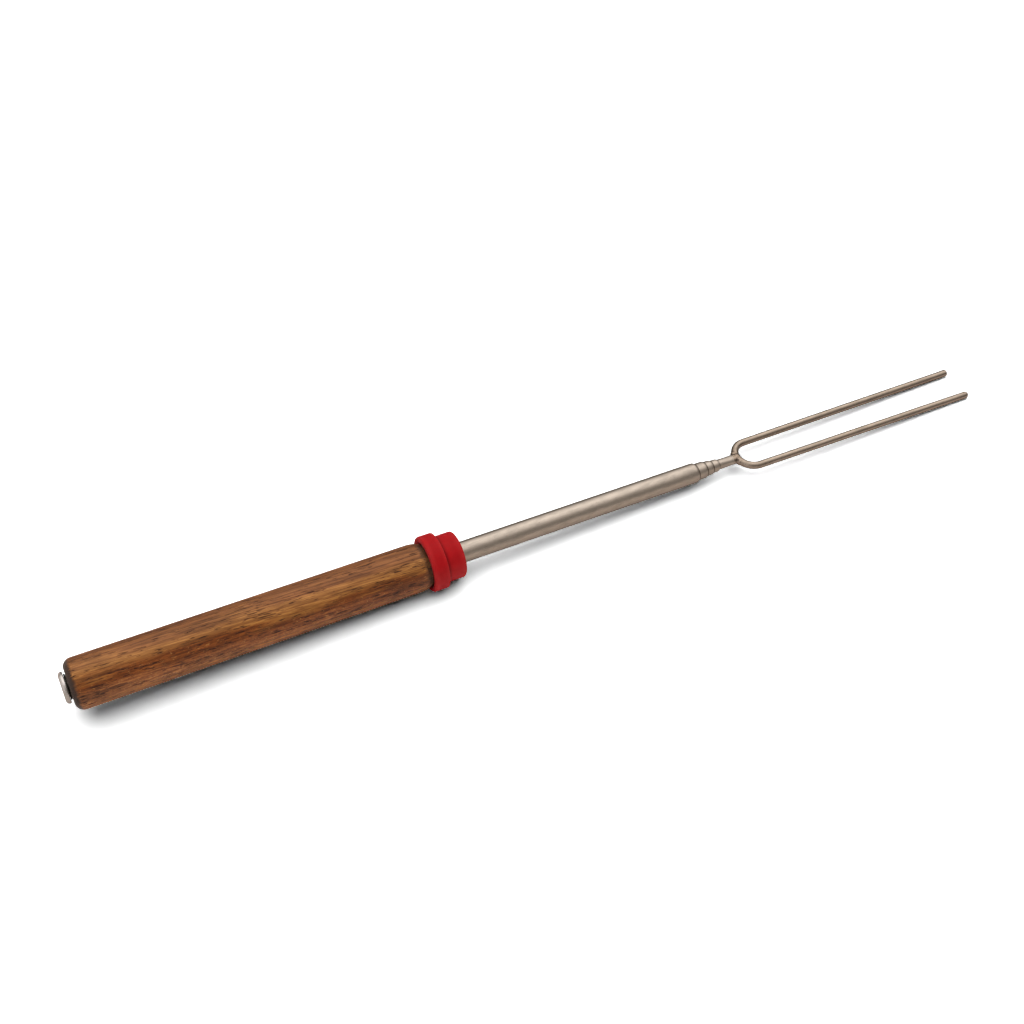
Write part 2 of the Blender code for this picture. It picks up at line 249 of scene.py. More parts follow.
def speckle(tree, spot, size, detail=3.0, rough=0.5, distortion=0.0):
    """Noise from 0 to 1 whose features have the given size in mm along X, Y and Z."""
    scale = [1 / s for s in size]
    vector = node(tree, "Mapping", {"Vector": spot, "Scale": scale}).outputs[0]
    inputs = {"Vector": vector, "Scale": 1.0, "Detail": detail, "Roughness": rough}
    inputs["Distortion"] = distortion
    return node(tree, "TexNoise", inputs).outputs["Fac"]


def between(tree, value, low, high, start=0.0, end=1.0):
    """Map a value smoothly from the range low..high to start..end."""
    inputs = {"Value": value, "From Min": low, "From Max": high, "To Min": start, "To Max": end}
    return node(tree, "MapRange", inputs, interpolation_type="SMOOTHSTEP").outputs[0]


def ramp(tree, value, stops):
    """Colour ramp through (position, colour) stops."""
    made = node(tree, "ValToRGB", {"Fac": value})
    elements = made.color_ramp.elements
    while len(elements) < len(stops):
        elements.new(0.5)
    for element, (position, colour) in zip(elements, stops):
        element.position = position
        element.color = colour
    return made.outputs["Color"]


def times(tree, first, second):
    """Product of two values or sockets."""
    return maths(tree, "MULTIPLY", first, second)


def blend(tree, share, first, second, mode="MIX"):
    """Mix two colours."""
    made = node(tree, "Mix", data_type="RGBA", blend_type=mode)
    for socket, value in zip((made.inputs[0], made.inputs[6], made.inputs[7]), (share, first, second)):
        if isinstance(value, bpy.types.NodeSocket):
            tree.links.new(value, socket)
        else:
            socket.default_value = value
    return made.outputs[2]


def shade(tree, colour, value, low, high, dark, light):
    """Multiply a colour by a factor that runs from dark to light over a range of the value."""
    share = between(tree, value, low, high)
    factor = blend(tree, share, dark + (1.0,), light + (1.0,))
    return blend(tree, 1.0, colour, factor, "MULTIPLY")


def bump(tree, height, strength, depth):
    """Surface relief from a height of 0 to 1 and its depth in metres."""
    return node(tree, "Bump", {"Height": height, "Strength": strength, "Distance": depth}).outputs[0]


def new_material(name):
    """Material, its node tree and its Principled shader."""
    material = bpy.data.materials.new(name)
    material.use_nodes = True
    tree = material.node_tree
    return material, tree, tree.nodes["Principled BSDF"]


def plug(tree, shader, **inputs):
    """Set or link the shader's inputs; underscores stand for spaces."""
    for key, value in inputs.items():
        socket = shader.inputs[key.replace("_", " ")]
        if isinstance(value, bpy.types.NodeSocket):
            tree.links.new(value, socket)
        else:
            socket.default_value = value


def wear_and_shade(tree):
    """Polish of edges (above 0), which on plastic also makes them paler as a painted highlight, and painted
    shade in corners, crevices and hollows (below 0), stored on the mesh.
    """
    return node(tree, "Attribute", attribute_name="wear_and_shade").outputs["Fac"]


# ---------------------------------------------------------------- materials


def wood_material(rear, front):
    """Lacquered reddish brown hardwood with open pores, banded by height with painted light and shade; its
    ends are darker from end-grain stain and painted shade.
    """
    material, tree, shader = new_material("lacquered_wood")
    grain = millimetres(tree, (0.0, 0.0, 2.5))
    # Height across the grip as the camera sees it, top limb high: the colour bands over it are the wood's
    # figure together with painted light on the upper part and painted shade in the dark band along the
    # middle.
    lean = {0: grain, 1: (0.0, 0.79, 0.61)}
    across = node(tree, "VectorMath", lean, operation="DOT_PRODUCT").outputs["Value"]
    slow = speckle(tree, grain, (40, 3.5, 3.5), 4.0)
    wander = times(tree, maths(tree, "SUBTRACT", slow, 0.5), 11.0)
    layer = between(tree, maths(tree, "ADD", across, wander), -9.0, 9.0)
    body = ramp(tree, layer, [
        (0.05, srgb(172, 110, 60)),
        (0.24, srgb(164, 100, 52)),
        (0.38, srgb(142, 80, 36)),
        (0.50, srgb(124, 66, 26)),
        (0.66, srgb(164, 108, 54)),
        (0.80, srgb(172, 116, 62)),
        (0.95, srgb(140, 88, 48)),
    ])
    streak = speckle(tree, grain, (30, 0.9, 0.9), 4.0, 0.65, 0.4)
    body = shade(tree, body, streak, 0.34, 0.66, (0.58, 0.53, 0.48), (1.18, 1.18, 1.16))
    fine = speckle(tree, grain, (7, 0.36, 0.36), 3.0, 0.65)
    body = shade(tree, body, fine, 0.36, 0.64, (0.66, 0.62, 0.58), (1.18, 1.18, 1.18))
    # Lower side as the camera sees it.
    low_side = between(tree, layer, 0.70, 0.40)
    curl = speckle(tree, grain, (1.3, 0.7, 0.7), 3.0, 0.7, 1.0)
    mottle = shade(tree, body, curl, 0.36, 0.66, (0.80, 0.76, 0.72), (1.22, 1.22, 1.18))
    body = blend(tree, low_side, body, mottle)
    # Pale flecks on the lower side: the wood's ray figure together with painted glints of the lacquer.
    fleck_and_glint = between(tree, speckle(tree, grain, (0.9, 0.45, 0.45), 1.0, 0.5, 0.6), 0.64, 0.72)
    body = blend(tree, times(tree, times(tree, fleck_and_glint, low_side), 0.42), body, srgb(206, 150, 92))
    line = speckle(tree, grain, (24, 0.6, 0.6), 2.0, 0.5, 0.5)
    vein = between(tree, line, 0.61, 0.68)
    body = blend(tree, times(tree, vein, 0.62), body, srgb(62, 28, 10))
    crowd = between(tree, speckle(tree, grain, (16, 2.2, 2.2), 2.0), 0.36, 0.62, 0.70, 0.565)
    pores = []
    for size in ((3.4, 0.36, 0.36), (1.6, 0.50, 0.50)):
        dash = speckle(tree, grain, size, 1.0, 0.5)
        limits = {"Value": dash, "From Min": crowd, "From Max": maths(tree, "ADD", crowd, 0.045)}
        pores.append(node(tree, "MapRange", limits).outputs[0])
    low_pores = times(tree, pores[1], times(tree, low_side, 0.55))
    pore = maths(tree, "MAXIMUM", pores[0], low_pores)
    body = blend(tree, times(tree, pore, 0.85), body, srgb(40, 17, 7))
    station = node(tree, "SeparateXYZ", {0: millimetres(tree)}).outputs["X"]
    rough_edge = maths(tree, "SUBTRACT", speckle(tree, grain, (3, 1.5, 1.5)), 0.5)
    edge = maths(tree, "ADD", station, times(tree, rough_edge, 1.2))
    # Darker ends: end grain that soaks up more stain, together with painted shade and dark reflection on
    # the rounded rear end and on the nose by the wheel.
    rear_end = between(tree, edge, rear / MM + 2.2, rear / MM + 1.0)
    front_end = between(tree, edge, front / MM - 3.6, front / MM - 1.8)
    end_stain_and_shade = maths(tree, "MAXIMUM", rear_end, times(tree, front_end, 0.78))
    body = blend(tree, times(tree, end_stain_and_shade, 0.92), body, srgb(38, 26, 20))
    relief = maths(tree, "SUBTRACT", times(tree, streak, 0.3), pore)
    relief = maths(tree, "SUBTRACT", relief, times(tree, vein, 0.4))
    gloss = maths(tree, "ADD", between(tree, streak, 0.3, 0.7, 0.46, 0.36), times(tree, pore, 0.3))
    plug(tree, shader, Base_Color=body, Roughness=gloss, Normal=bump(tree, relief, 0.55, 0.12 * MM),
         Specular_IOR_Level=0.28, Coat_Weight=0.12, Coat_Roughness=0.3)
    return material


def plastic_material(name, colour, pale, roughness, grain_depth):
    """Moulded plastic with a fine matt grain, cloudy gloss, edges made paler by rubbing wear and a painted
    highlight, and painted shade in corners and hollows.
    """
    material, tree, shader = new_material(name)
    spot = millimetres(tree)
    cloud = speckle(tree, spot, (3.0, 3.0, 3.0), 4.0, 0.6)
    body = blend(tree, between(tree, cloud, 0.3, 0.7), colour, [c * 0.86 for c in colour[:3]] + [1.0])
    # Paler edges: rubbing wear together with a painted highlight.
    rubbed_and_highlit = maths(tree, "MULTIPLY", wear_and_shade(tree), between(tree, cloud, 0.3, 0.6, 0.3, 1.0), clamp=True)
    body = blend(tree, times(tree, rubbed_and_highlit, 0.30), body, pale)
    # Painted shade in corners and hollows, from the marks below 0.
    shade_mask = maths(tree, "MULTIPLY", wear_and_shade(tree), -1.0, clamp=True)
    body = blend(tree, shade_mask, body, [c * 0.12 for c in colour[:3]] + [1.0])
    grain = speckle(tree, spot, (0.14, 0.14, 0.14), 2.0)
    scuff = speckle(tree, spot, (0.25, 2.5, 2.5), 3.0, 0.6)
    height = maths(tree, "ADD", grain, times(tree, scuff, 0.5))
    gloss = between(tree, cloud, 0.25, 0.75, roughness - 0.05, roughness + 0.07)
    plug(tree, shader, Base_Color=body, Roughness=gloss, Specular_IOR_Level=0.10,
         Normal=bump(tree, height, 0.35, grain_depth))
    return material


def steel_material(name, colour, roughness, lines, tint_place=None, tint_reach=1.0):
    """Satin steel with drawing or turning lines, cloudy stains, a heat tint by a weld, and painted shade
    where the marks are below 0.

    The size of the lines is given in mm along X, Y and Z.
    """
    material, tree, shader = new_material(name)
    spot = millimetres(tree)
    line = speckle(tree, spot, lines, 3.0, 0.6)
    cloud = speckle(tree, spot, (5.0, 1.8, 1.8), 4.0, 0.65)
    dark = [c * 0.62 for c in colour[:3]] + [1.0]
    body = blend(tree, between(tree, cloud, 0.35, 0.72, 0.0, 0.55), colour, dark)
    body = blend(tree, between(tree, line, 0.35, 0.70, 0.0, 0.30), body, dark)
    speck = between(tree, speckle(tree, spot, (0.35, 0.35, 0.35), 1.0), 0.70, 0.76)
    body = blend(tree, times(tree, speck, 0.5), body, srgb(92, 74, 62))
    # Painted shade in crevices, grooves, insides and the weld's pit, from the marks below 0.
    shade_mask = maths(tree, "MULTIPLY", wear_and_shade(tree), -1.0, clamp=True)
    body = blend(tree, times(tree, shade_mask, 0.85), body, srgb(48, 38, 32))
    if tint_place is not None:
        centre = [c / MM for c in tint_place]
        reach = node(tree, "VectorMath", {0: spot, 1: centre}, operation="DISTANCE").outputs["Value"]
        scale = speckle(tree, spot, (0.9, 0.9, 0.9), 3.0, 0.6)
        reach = maths(tree, "ADD", reach, times(tree, scale, 2.2))
        heat = between(tree, reach, 1.2 + 3.2 * tint_reach, 1.6)
        tint = ramp(tree, scale, [
            (0.30, srgb(70, 56, 48)),
            (0.50, srgb(150, 130, 112)),
            (0.68, srgb(120, 100, 96)),
        ])
        body = blend(tree, times(tree, heat, 0.7), body, tint)
    gloss = between(tree, cloud, 0.3, 0.75, roughness - 0.03, roughness + 0.08)
    gloss = maths(tree, "ADD", gloss, times(tree, line, 0.05))
    gloss = maths(tree, "SUBTRACT", gloss, times(tree, wear_and_shade(tree), 0.08))
    height = maths(tree, "ADD", line, times(tree, cloud, 0.5))
    plug(tree, shader, Base_Color=body, Metallic=1.0, Roughness=gloss,
         Normal=bump(tree, height, 0.25, 0.02 * MM))
    return material


# ---------------------------------------------------------------- mesh helpers


def arc(station, radius, size, start, end, points, mark=0.0):
    """Points (station, radius, wear and shade mark) of a round corner; angles in degrees, 0 is forwards."""
    steps = [math.radians(start + (end - start) * i / (points - 1)) for i in range(points)]
    return [(station + size * math.cos(a), radius + size * math.sin(a), mark) for a in steps]


def row(start, end, points, mark=0.0):
    """Evenly spaced points between two (station, radius) points, ends left out."""
    shares = [(i + 1) / (points + 1) for i in range(points)]
    return [tuple(a + (b - a) * s for a, b in zip(start, end)) + (mark,) for s in shares]


def skin(name, rings, marks=None, joined=False, capped=False):
    """Closed mesh through a row of rings of points; joined links the last ring to the first."""
    made = bmesh.new()
    # Marks per point: polish, painted highlight on plastic, and painted shade.
    layer = made.verts.layers.float.new("wear_and_shade")
    corners = []
    for index, ring in enumerate(rings):
        corners.append([made.verts.new(point) for point in ring])
        for corner in corners[-1]:
            corner[layer] = marks[index] if marks else 0.0
    count = len(rings[0])
    for index in range(len(rings) if joined else len(rings) - 1):
        here, there = corners[index], corners[(index + 1) % len(rings)]
        for side in range(count):
            after = (side + 1) % count
            made.faces.new((here[side], here[after], there[after], there[side]))
    if capped:
        made.faces.new(corners[0])
        made.faces.new(corners[-1])
    bmesh.ops.remove_doubles(made, verts=made.verts, dist=1e-7)
    bmesh.ops.recalc_face_normals(made, faces=made.faces)
    mesh = bpy.data.meshes.new(name)
    made.to_mesh(mesh)
    made.free()
    return finish_mesh(name, mesh)


def finish_mesh(name, mesh):
    """Object in the scene from a mesh, shaded smooth but for its sharp edges."""
    mesh.shade_smooth()
    mesh.set_sharp_from_angle(angle=SHARP_ANGLE)
    return add_object(name, mesh)


def add_object(name, data):
    """New object in the scene."""
    made = bpy.data.objects.new(name, data)
    bpy.context.scene.collection.objects.link(made)
    return made


def oval(station, side, top, steps):
    """Ring of points about the shaft with its own half width and half height."""
    turns = [2 * math.pi * i / steps for i in range(steps)]
    return [Vector((station, side * math.cos(a), top * math.sin(a))) for a in turns]


def marked(outline):
    """Outline as (station, radius, wear and shade mark) points; the mark is 0 where none is given."""
    return [tuple(point) + (0.0,) * (3 - len(point)) for point in outline]


def turned(name, outline, steps, closed=True):
    """Piece turned about the shaft from its outline."""
    points = marked(outline)
    rings = [oval(station, radius, radius, steps) for station, radius, _ in points]
    return skin(name, rings, [mark for _, _, mark in points], joined=closed)


def place(obj, material, slot, body, *nodes):
    """Finish a piece: its material, the body it rides on and the CAD nodes it stands for."""
    obj.data.materials.clear()
    obj.data.materials.append(material)
    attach(obj, body)
    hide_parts(*nodes)
    obj.visible_diffuse = False  # no coloured bounce on the floor
    return obj


def extent(name):
    """Rear station, front station and largest radius of a turned CAD node."""
    low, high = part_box(name)
    return low.x, high.x, high.y


# ---------------------------------------------------------------- handle


def build_grip():
    """Turned handle: rounded ends, a slight taper, and shallow relief along the grain."""
    rear, front, radius = extent("handle_grip")
    nose = grip_nose(front, radius - GRIP_TAPER)
    tail = arc(rear + GRIP_REAR_ROUND, radius - GRIP_REAR_ROUND, GRIP_REAR_ROUND, 90, 180, 16)
    length = row(nose[-1][:2], tail[0][:2], GRIP_RINGS)
    outline = [(front, GRIP_BORE)] + nose + length + tail + [(rear, GRIP_BORE)]
    grip = turned("handle_grip_turned", outline, GRIP_STEPS)
    for vertex in grip.data.vertices:
        point = vertex.co
        if math.hypot(point.y, point.z) > GRIP_BORE + 0.5 * MM:
            vertex.co = point - grain_relief(point)
    place(grip, wood_material(rear, front), "wood", "handle", "handle_grip")


def grip_nose(front, radius):
    """Front of the grip: a broad round that eases in, met by a small round at the face."""
    start = front - GRIP_EASE_LENGTH
    centre = radius - GRIP_EASE_ROUND
    reach = GRIP_EASE_ROUND - GRIP_FRONT_ROUND
    meet = math.degrees(math.acos((GRIP_EASE_LENGTH - GRIP_FRONT_ROUND) / reach))
    corner_station = start + reach * math.cos(math.radians(meet))
    corner_radius = centre + reach * math.sin(math.radians(meet))
    face = arc(corner_station, corner_radius, GRIP_FRONT_ROUND, 0, meet, 12)
    return face + arc(start, centre, GRIP_EASE_ROUND, meet, 90, 14)[1:]


def grain_relief(point):
    """How far the wood's surface lies below its nominal radius, as a vector."""
    x, y, z = (c / MM for c in point)
    broad = noise.noise(Vector((x / 24, y / 3.5, z / 3.5)))
    fine = noise.noise(Vector((x / 7 + 40, y / 0.8, z / 0.8)))
    depth = GRIP_RELIEF * max(0.0, 0.5 + 0.55 * broad + 0.3 * fine)
    return depth * Vector((0.0, point.y, point.z)).normalized()


def ring_outline(rear, front, radius, bore, chamfer):
    """Plain ring with chamfered edges."""
    return [
        (front, bore + chamfer), (front, radius - chamfer),
        (front - chamfer, radius), (rear + chamfer, radius),
        (rear, radius - chamfer), (rear, bore + chamfer),
        (rear + chamfer, bore), (front - chamfer, bore),
    ]


def build_bushings(nylon):
    """Plastic sleeves in both ends of the bore."""
    for name in ("front_bushing", "rear_bushing"):
        rear, front, radius = extent(name)
        outline = ring_outline(rear, front, radius, BUSHING_BORE, BUSHING_CHAMFER)
        place(turned(name + "_moulded", outline, TUBE_STEPS), nylon, "nylon", "handle", name)


# ---------------------------------------------------------------- spindle


def build_washers(nylon, steel):
    """Thrust washers at both ends of the grip."""
    washers = (("front_washer", nylon, "nylon"), ("rear_washer", steel, "satin_steel"))
    for name, material, slot in washers:
        rear, front, radius = extent(name)
        outline = ring_outline(rear, front, radius, WASHER_BORE, WASHER_CHAMFER)
        place(turned(name + "_stamped", outline, TUBE_STEPS), material, slot, "spindle", name)


def lip(front, radius, lip_radius, wall):
    """Rolled-in front end of a tube: points from the lip's mouth back, outside and inside."""
    outside = []
    inside = []
    for i in range(LIP_POINTS + 1):
        turn = 0.5 * math.pi * i / LIP_POINTS
        rise = math.sin(turn)
        back = LIP_LENGTH * (1 - math.cos(turn))
        # Polish along the rolled edge, painted shade at the lip's mouth.
        mark = LIP_POLISH * (1 - rise) + (LIP_SHADE if i == 0 else 0.0)
        outside.append((front - back, lip_radius + (radius - lip_radius) * rise, mark))
        inner = lip_radius + max(0.0, radius - wall - lip_radius) * rise
        # Painted shade inside the lip.
        inside.append((front - wall - back, inner, INSIDE_SHADE))
    return outside, inside[::-1]


def build_main_tube(steel):
    """Outer tube with a rolled front lip."""
    rear, front, radius = extent("main_tube")
    bore = radius - MAIN_WALL
    outside, inside = lip(front, radius, extent("stage_1_tube")[2] + LIP_CLEARANCE, MAIN_WALL)
    outline = outside + [(rear, radius), (rear, bore)] + inside
    place(turned("main_tube_drawn", outline, TUBE_STEPS), steel, "satin_steel", "spindle", "main_tube")


def build_end_button():
    """Turned disc with a rounded rear edge and fine tool rings, on a plug."""
    rear, front, radius = extent("end_button")
    face = radius - BUTTON_ROUND
    edge = BUTTON_FRONT_ROUND
    plug_points = [
        (front, 0.0), (front, PLUG_RADIUS - PLUG_CHAMFER),
        (front - PLUG_CHAMFER, PLUG_RADIUS), (BUTTON_THICKNESS, PLUG_RADIUS),
    ]
    rim = arc(BUTTON_THICKNESS - edge, radius - edge, edge, 0, 90, 5, 1.0)
    back = arc(rear + BUTTON_ROUND, face, BUTTON_ROUND, 90, 180, 12, 0.4)
    rings = []
    for i in range(1, BUTTON_RINGS):
        deep = rear + BUTTON_RING_DEPTH * (i % 2)
        rings.append((deep, face * (1 - i / BUTTON_RINGS)))
    outline = plug_points + rim + back + rings + [(rear, 0.0)]
    steel = steel_material("button_steel", srgb(214, 208, 204), 0.24, (0.12, 3.0, 3.0))
    button = turned("end_button_turned", outline, WHEEL_STEPS, closed=False)
    place(button, steel, "button_steel", "spindle", "end_button")


def build_thumb_wheel():
    """Two stepped rings moulded as one, with a hub inside the hollow rear."""
    rear, front, radius = extent("thumb_wheel")
    step = rear + WHEEL_STEP_STATION
    floor = rear + WHEEL_RECESS_DEPTH
    hub = floor - WHEEL_HUB_LENGTH
    nose, corner = WHEEL_NOSE_ROUND, WHEEL_STEP_ROUND
    tail, small = WHEEL_TAIL_ROUND, WHEEL_SMALL_ROUND
    # Marks: above 0 the rounded edges get polish and a paler painted highlight; below 0 painted shade at
    # the step and in the hollow rear.
    outline = (
        arc(front - small, WHEEL_BORE + small, small, 270, 360, 5, 0.3)
        + arc(front - nose, WHEEL_SMALL_RADIUS - nose, nose, 0, 90, 12, 0.8)
        + row((front - nose, WHEEL_SMALL_RADIUS), (step, WHEEL_SMALL_RADIUS), 3)
        + arc(step + small, WHEEL_SMALL_RADIUS + small, small, 270, 180, 5, -0.6)
        + arc(step - corner, radius - corner, corner, 0, 90, 8, 1.0)
        + row((step - corner, radius), (rear + tail, radius), 3)
        + arc(rear + tail, radius - tail, tail, 90, 180, 12, 0.8)
        + arc(rear + small, WHEEL_RECESS_RADIUS + small, small, 180, 270, 5, -0.2)
        + arc(floor - small, WHEEL_RECESS_RADIUS - small, small, 90, 0, 5, -1.0)
        + arc(floor - small, WHEEL_HUB_RADIUS + small, small, 0, -90, 5, -1.0)
        + arc(hub + small, WHEEL_HUB_RADIUS - small, small, 90, 180, 5, -0.8)
        + arc(hub + small, WHEEL_BORE + small, small, 180, 270, 5, -0.8)
    )
    red = plastic_material("red_plastic", srgb(174, 21, 26), srgb(206, 54, 54), 0.50, 0.03 * MM)
    wheel = turned("thumb_wheel_moulded", outline, WHEEL_STEPS)
    place(wheel, red, "red_plastic", "spindle", "thumb_wheel")


# ---------------------------------------------------------------- sliding tubes


def tube_radius(index):
    """Outer radius of sliding tube 1 to 4, or of the main tube for 0."""
    return extent(f"stage_{index}_tube" if index else "main_tube")[2]


def groove_radius(index):
    """Outer radius of a tube at the bottom of its spring groove."""
    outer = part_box(f"stage_{index}_spring_upper")[1].z
    return outer - CAD_SPRING_THICKNESS - GROOVE_CLEARANCE


def rear_part(index, rear, radius):
    """Outline of a sliding tube's rear end with its spring groove, outside then inside."""
    bottom = groove_radius(index)
    start = rear + GROOVE_REAR
    end = start + GROOVE_LENGTH
    soft = GROOVE_SOFTEN
    sag = 0.2 * soft
    # Painted shade in the spring groove; polish on its shoulders and the rear end.
    outside = [
        (end + GROOVE_TAPER + soft, radius),
        (end + GROOVE_TAPER, radius - sag, GROOVE_POLISH),
        (end + soft, bottom + sag, GROOVE_EDGE_SHADE),
        (end, bottom, GROOVE_SHADE),
        (start, bottom, GROOVE_SHADE),
        (start - soft, bottom + sag, GROOVE_EDGE_SHADE),
        (start - GROOVE_TAPER, radius - sag, GROOVE_POLISH),
        (start - GROOVE_TAPER - soft, radius),
        (rear + END_CHAMFER_LENGTH, radius, GROOVE_POLISH),
        (rear, radius - END_CHAMFER_DEPTH, GROOVE_POLISH),
    ]
    inside = [(p[0], p[1] - STAGE_WALL) for p in reversed(outside[:-2])]
    return outside + [(rear, radius - STAGE_WALL + END_INSIDE_CHAMFER)] + inside


def build_stage_tube(index, steel):
    """Sliding tube with a rolled front lip."""
    name = f"stage_{index}_tube"
    rear, front, radius = extent(name)
    outside, inside = lip(front, radius, tube_radius(index + 1) + LIP_CLEARANCE, STAGE_WALL)
    outline = outside + lip_crevice_shade(index, radius) + rear_part(index, rear, radius) + inside
    tube = turned(name + "_drawn", outline, TUBE_STEPS)
    place(tube, steel, "satin_steel", f"stage_{index}", name)


def lip_crevice_shade(index, radius):
    """Painted shade in the crevice where the outer tube's lip meets a sliding tube."""
    mouth = extent(f"stage_{index - 1}_tube" if index > 1 else "main_tube")[1]
    return [(mouth + ahead * MM, radius, mark) for ahead, mark in SHADE_RING]


def build_inner_tube(steel):
    """Innermost tube: its front end is drawn down, then flattened where it meets the wire."""
    index = STAGES
    name = f"stage_{index}_tube"
    rear, front, radius = extent(name)
    start = front - NECK_START
    sections = []
    for i in range(NECK_RINGS + 1):
        share = i / NECK_RINGS
        station = front - (NECK_START - NECK_TAPER) * share
        swell = smooth(1 - share, 0.0, 1.0)
        side = NECK_REAR_RADIUS + (NECK_SIDE_RADIUS - NECK_REAR_RADIUS) * swell
        top = NECK_REAR_RADIUS + (NECK_TOP_RADIUS - NECK_REAR_RADIUS) * swell
        sections.append((station, side, top, 0.0))
    # Painted shade where the tube starts to narrow into the neck, fading out behind.
    for i in range(1, TAPER_RINGS + 1):
        share = i / TAPER_RINGS
        size = NECK_REAR_RADIUS + (radius - NECK_REAR_RADIUS) * smooth(share, 0.0, 1.0)
        sections.append((start + NECK_TAPER * (1 - share), size, size, LIP_SHADE * share))
    sections.append((start - SHADE_FADE, radius, radius, 0.0))
    tail = [(s, size, size, mark) for s, size, mark in marked(rear_part(index, rear, radius))]
    wall = STAGE_WALL
    # Painted shade inside the tube.
    inside = [(s, side - wall, top - wall, NECK_INSIDE_SHADE) for s, side, top, _ in reversed(sections)]
    everything = sections + tail + inside
    rings = [oval(station, side, top, TUBE_STEPS) for station, side, top, _ in everything]
    tube = skin(name + "_drawn", rings, [mark for _, _, _, mark in everything], joined=True)
    place(tube, steel, "satin_steel", f"stage_{index}", name)


def smooth(value, low, high):
    """Smooth step from 0 at low to 1 at high."""
    share = min(1.0, max(0.0, (value - low) / (high - low)))
    return share * share * (3 - 2 * share)


def build_springs(index, brass):
    """Upper and lower friction spring of a tube, slightly bowed outwards along their length."""
    for level, middle in (("upper", 90.0), ("lower", -90.0)):
        name = f"stage_{index}_spring_{level}"
        low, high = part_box(name)
        outer = max(abs(low.z), abs(high.z))
        profile = spring_profile(low.x, high.x, outer)
        rings = []
        for i in range(SPRING_STEPS + 1):
            turn = math.radians(middle + SPRING_HALF_ANGLE * (2 * i / SPRING_STEPS - 1))
            rings.append([Vector((x, r * math.cos(turn), r * math.sin(turn))) for x, r in profile])
        spring = skin(name + "_rolled", rings, capped=True)
        place(spring, brass, "spring_brass", f"stage_{index}", name)


def spring_profile(rear, front, outer):
    """Cross-section of a spring strip: bowed, with rounded ends."""
    middle, half = (rear + front) / 2, (front - rear) / 2
    edge = SPRING_THICKNESS / 2
    top = []
    for i in range(SPRING_POINTS + 1):
        share = 1 - 2 * i / SPRING_POINTS
        top.append((middle + (half - edge) * share, outer - SPRING_BOW * share ** 2))
    low = [(x, r - SPRING_THICKNESS) for x, r in reversed(top)]
    rear_edge = [(rear, top[-1][1] - edge)]
    front_edge = [(front, top[0][1] - edge)]
    return top + rear_edge + low + front_edge


# ---------------------------------------------------------------- fork


def fork_size():
    """Station of the base's centre line, station of the tips, and half the tips' spacing."""
    low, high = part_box("fork_wire")
    return low.x + WIRE_RADIUS, high.x, high.y - WIRE_RADIUS


def fork_path():
    """Centre line of the fork wire from tip to tip: (point, heading) pairs."""
    base, tip_station, tip_side = fork_size()
    bend = FORK_BASE_SPACING / 2
    centre = base + bend
    length = tip_station - centre
    leg = []
    for i in range(TINE_POINTS):
        share = i / TINE_POINTS
        station = tip_station - length * share
        side = tip_side + (bend - tip_side) * share
        calm = math.sin(math.pi * share) ** 0.5 if share > 0 else 0.0
        leg.append((station, side, calm))
    path = []
    for station, side, calm in leg:
        path.append((wavy(station, -side, calm), math.pi))
    for i in range(BEND_POINTS + 1):
        angle = math.pi * (1.5 - i / BEND_POINTS)
        point = Vector((centre + bend * math.cos(angle), bend * math.sin(angle), 0.0))
        path.append((point, angle - math.pi / 2))
    for station, side, calm in reversed(leg):
        path.append((wavy(station, side, calm), 0.0))
    return path


def wavy(station, side, amount):
    """Point of a tine, which isn't perfectly straight."""
    drift = WIRE_WAVE * amount
    seed = 11.0 if side > 0 else 3.0
    y = side + drift * noise.noise(Vector((station * WAVES_PER_METRE, seed, 0.0)))
    z = drift * noise.noise(Vector((station * WAVES_PER_METRE, seed, 9.0)))
    return Vector((station, y, z))


def wire_ring(point, heading, radius):
    """Ring of points around the wire, square to its heading in the XY plane."""
    side = Vector((-math.sin(heading), math.cos(heading), 0.0))
    turns = [2 * math.pi * i / WIRE_STEPS for i in range(WIRE_STEPS)]
    return [point + radius * (math.cos(a) * side + Vector((0.0, 0.0, math.sin(a)))) for a in turns]


def build_fork_wire(steel):
    """Bent wire with blunt tips whose edges are rounded."""
    path = fork_path()
    rings = []
    marks = []
    tip, heading = path[0]
    for depth, radius in tip_rounding(NEAR_TIP_ROUND):
        rings.append(wire_ring(tip - Vector((depth, 0.0, 0.0)), heading, radius))
        marks.append(TIP_POLISH)
    for point, turn in path[1:-1]:
        rings.append(wire_ring(point, turn, WIRE_RADIUS))
        marks.append(0.0)
    tip, heading = path[-1]
    for depth, radius in reversed(tip_rounding(FAR_TIP_ROUND)):
        rings.append(wire_ring(tip - Vector((depth, 0.0, 0.0)), heading, radius))
        marks.append(TIP_POLISH)
    wire = skin("fork_wire_bent", rings, marks)
    place(wire, steel, "fork_steel", f"stage_{STAGES}", "fork_wire")


def tip_rounding(size):
    """Depth and radius of the rings from the middle of a tip's face to the full wire."""
    rings = [(0.0, 0.0)]
    for i in range(TIP_POINTS + 1):
        turn = 0.5 * math.pi * i / TIP_POINTS
        rings.append((size * (1 - math.cos(turn)), WIRE_RADIUS - size * (1 - math.sin(turn))))
    return rings


def weld_lump(place_mm, size_mm, side=1):
    """Centre and half axes of one lump of the bead, on either side of the middle."""
    ahead, across, height = place_mm
    centre = Vector((fork_size()[0] + ahead * MM, side * across * MM, height * MM))
    return centre, tuple(half * MM for half in size_mm)


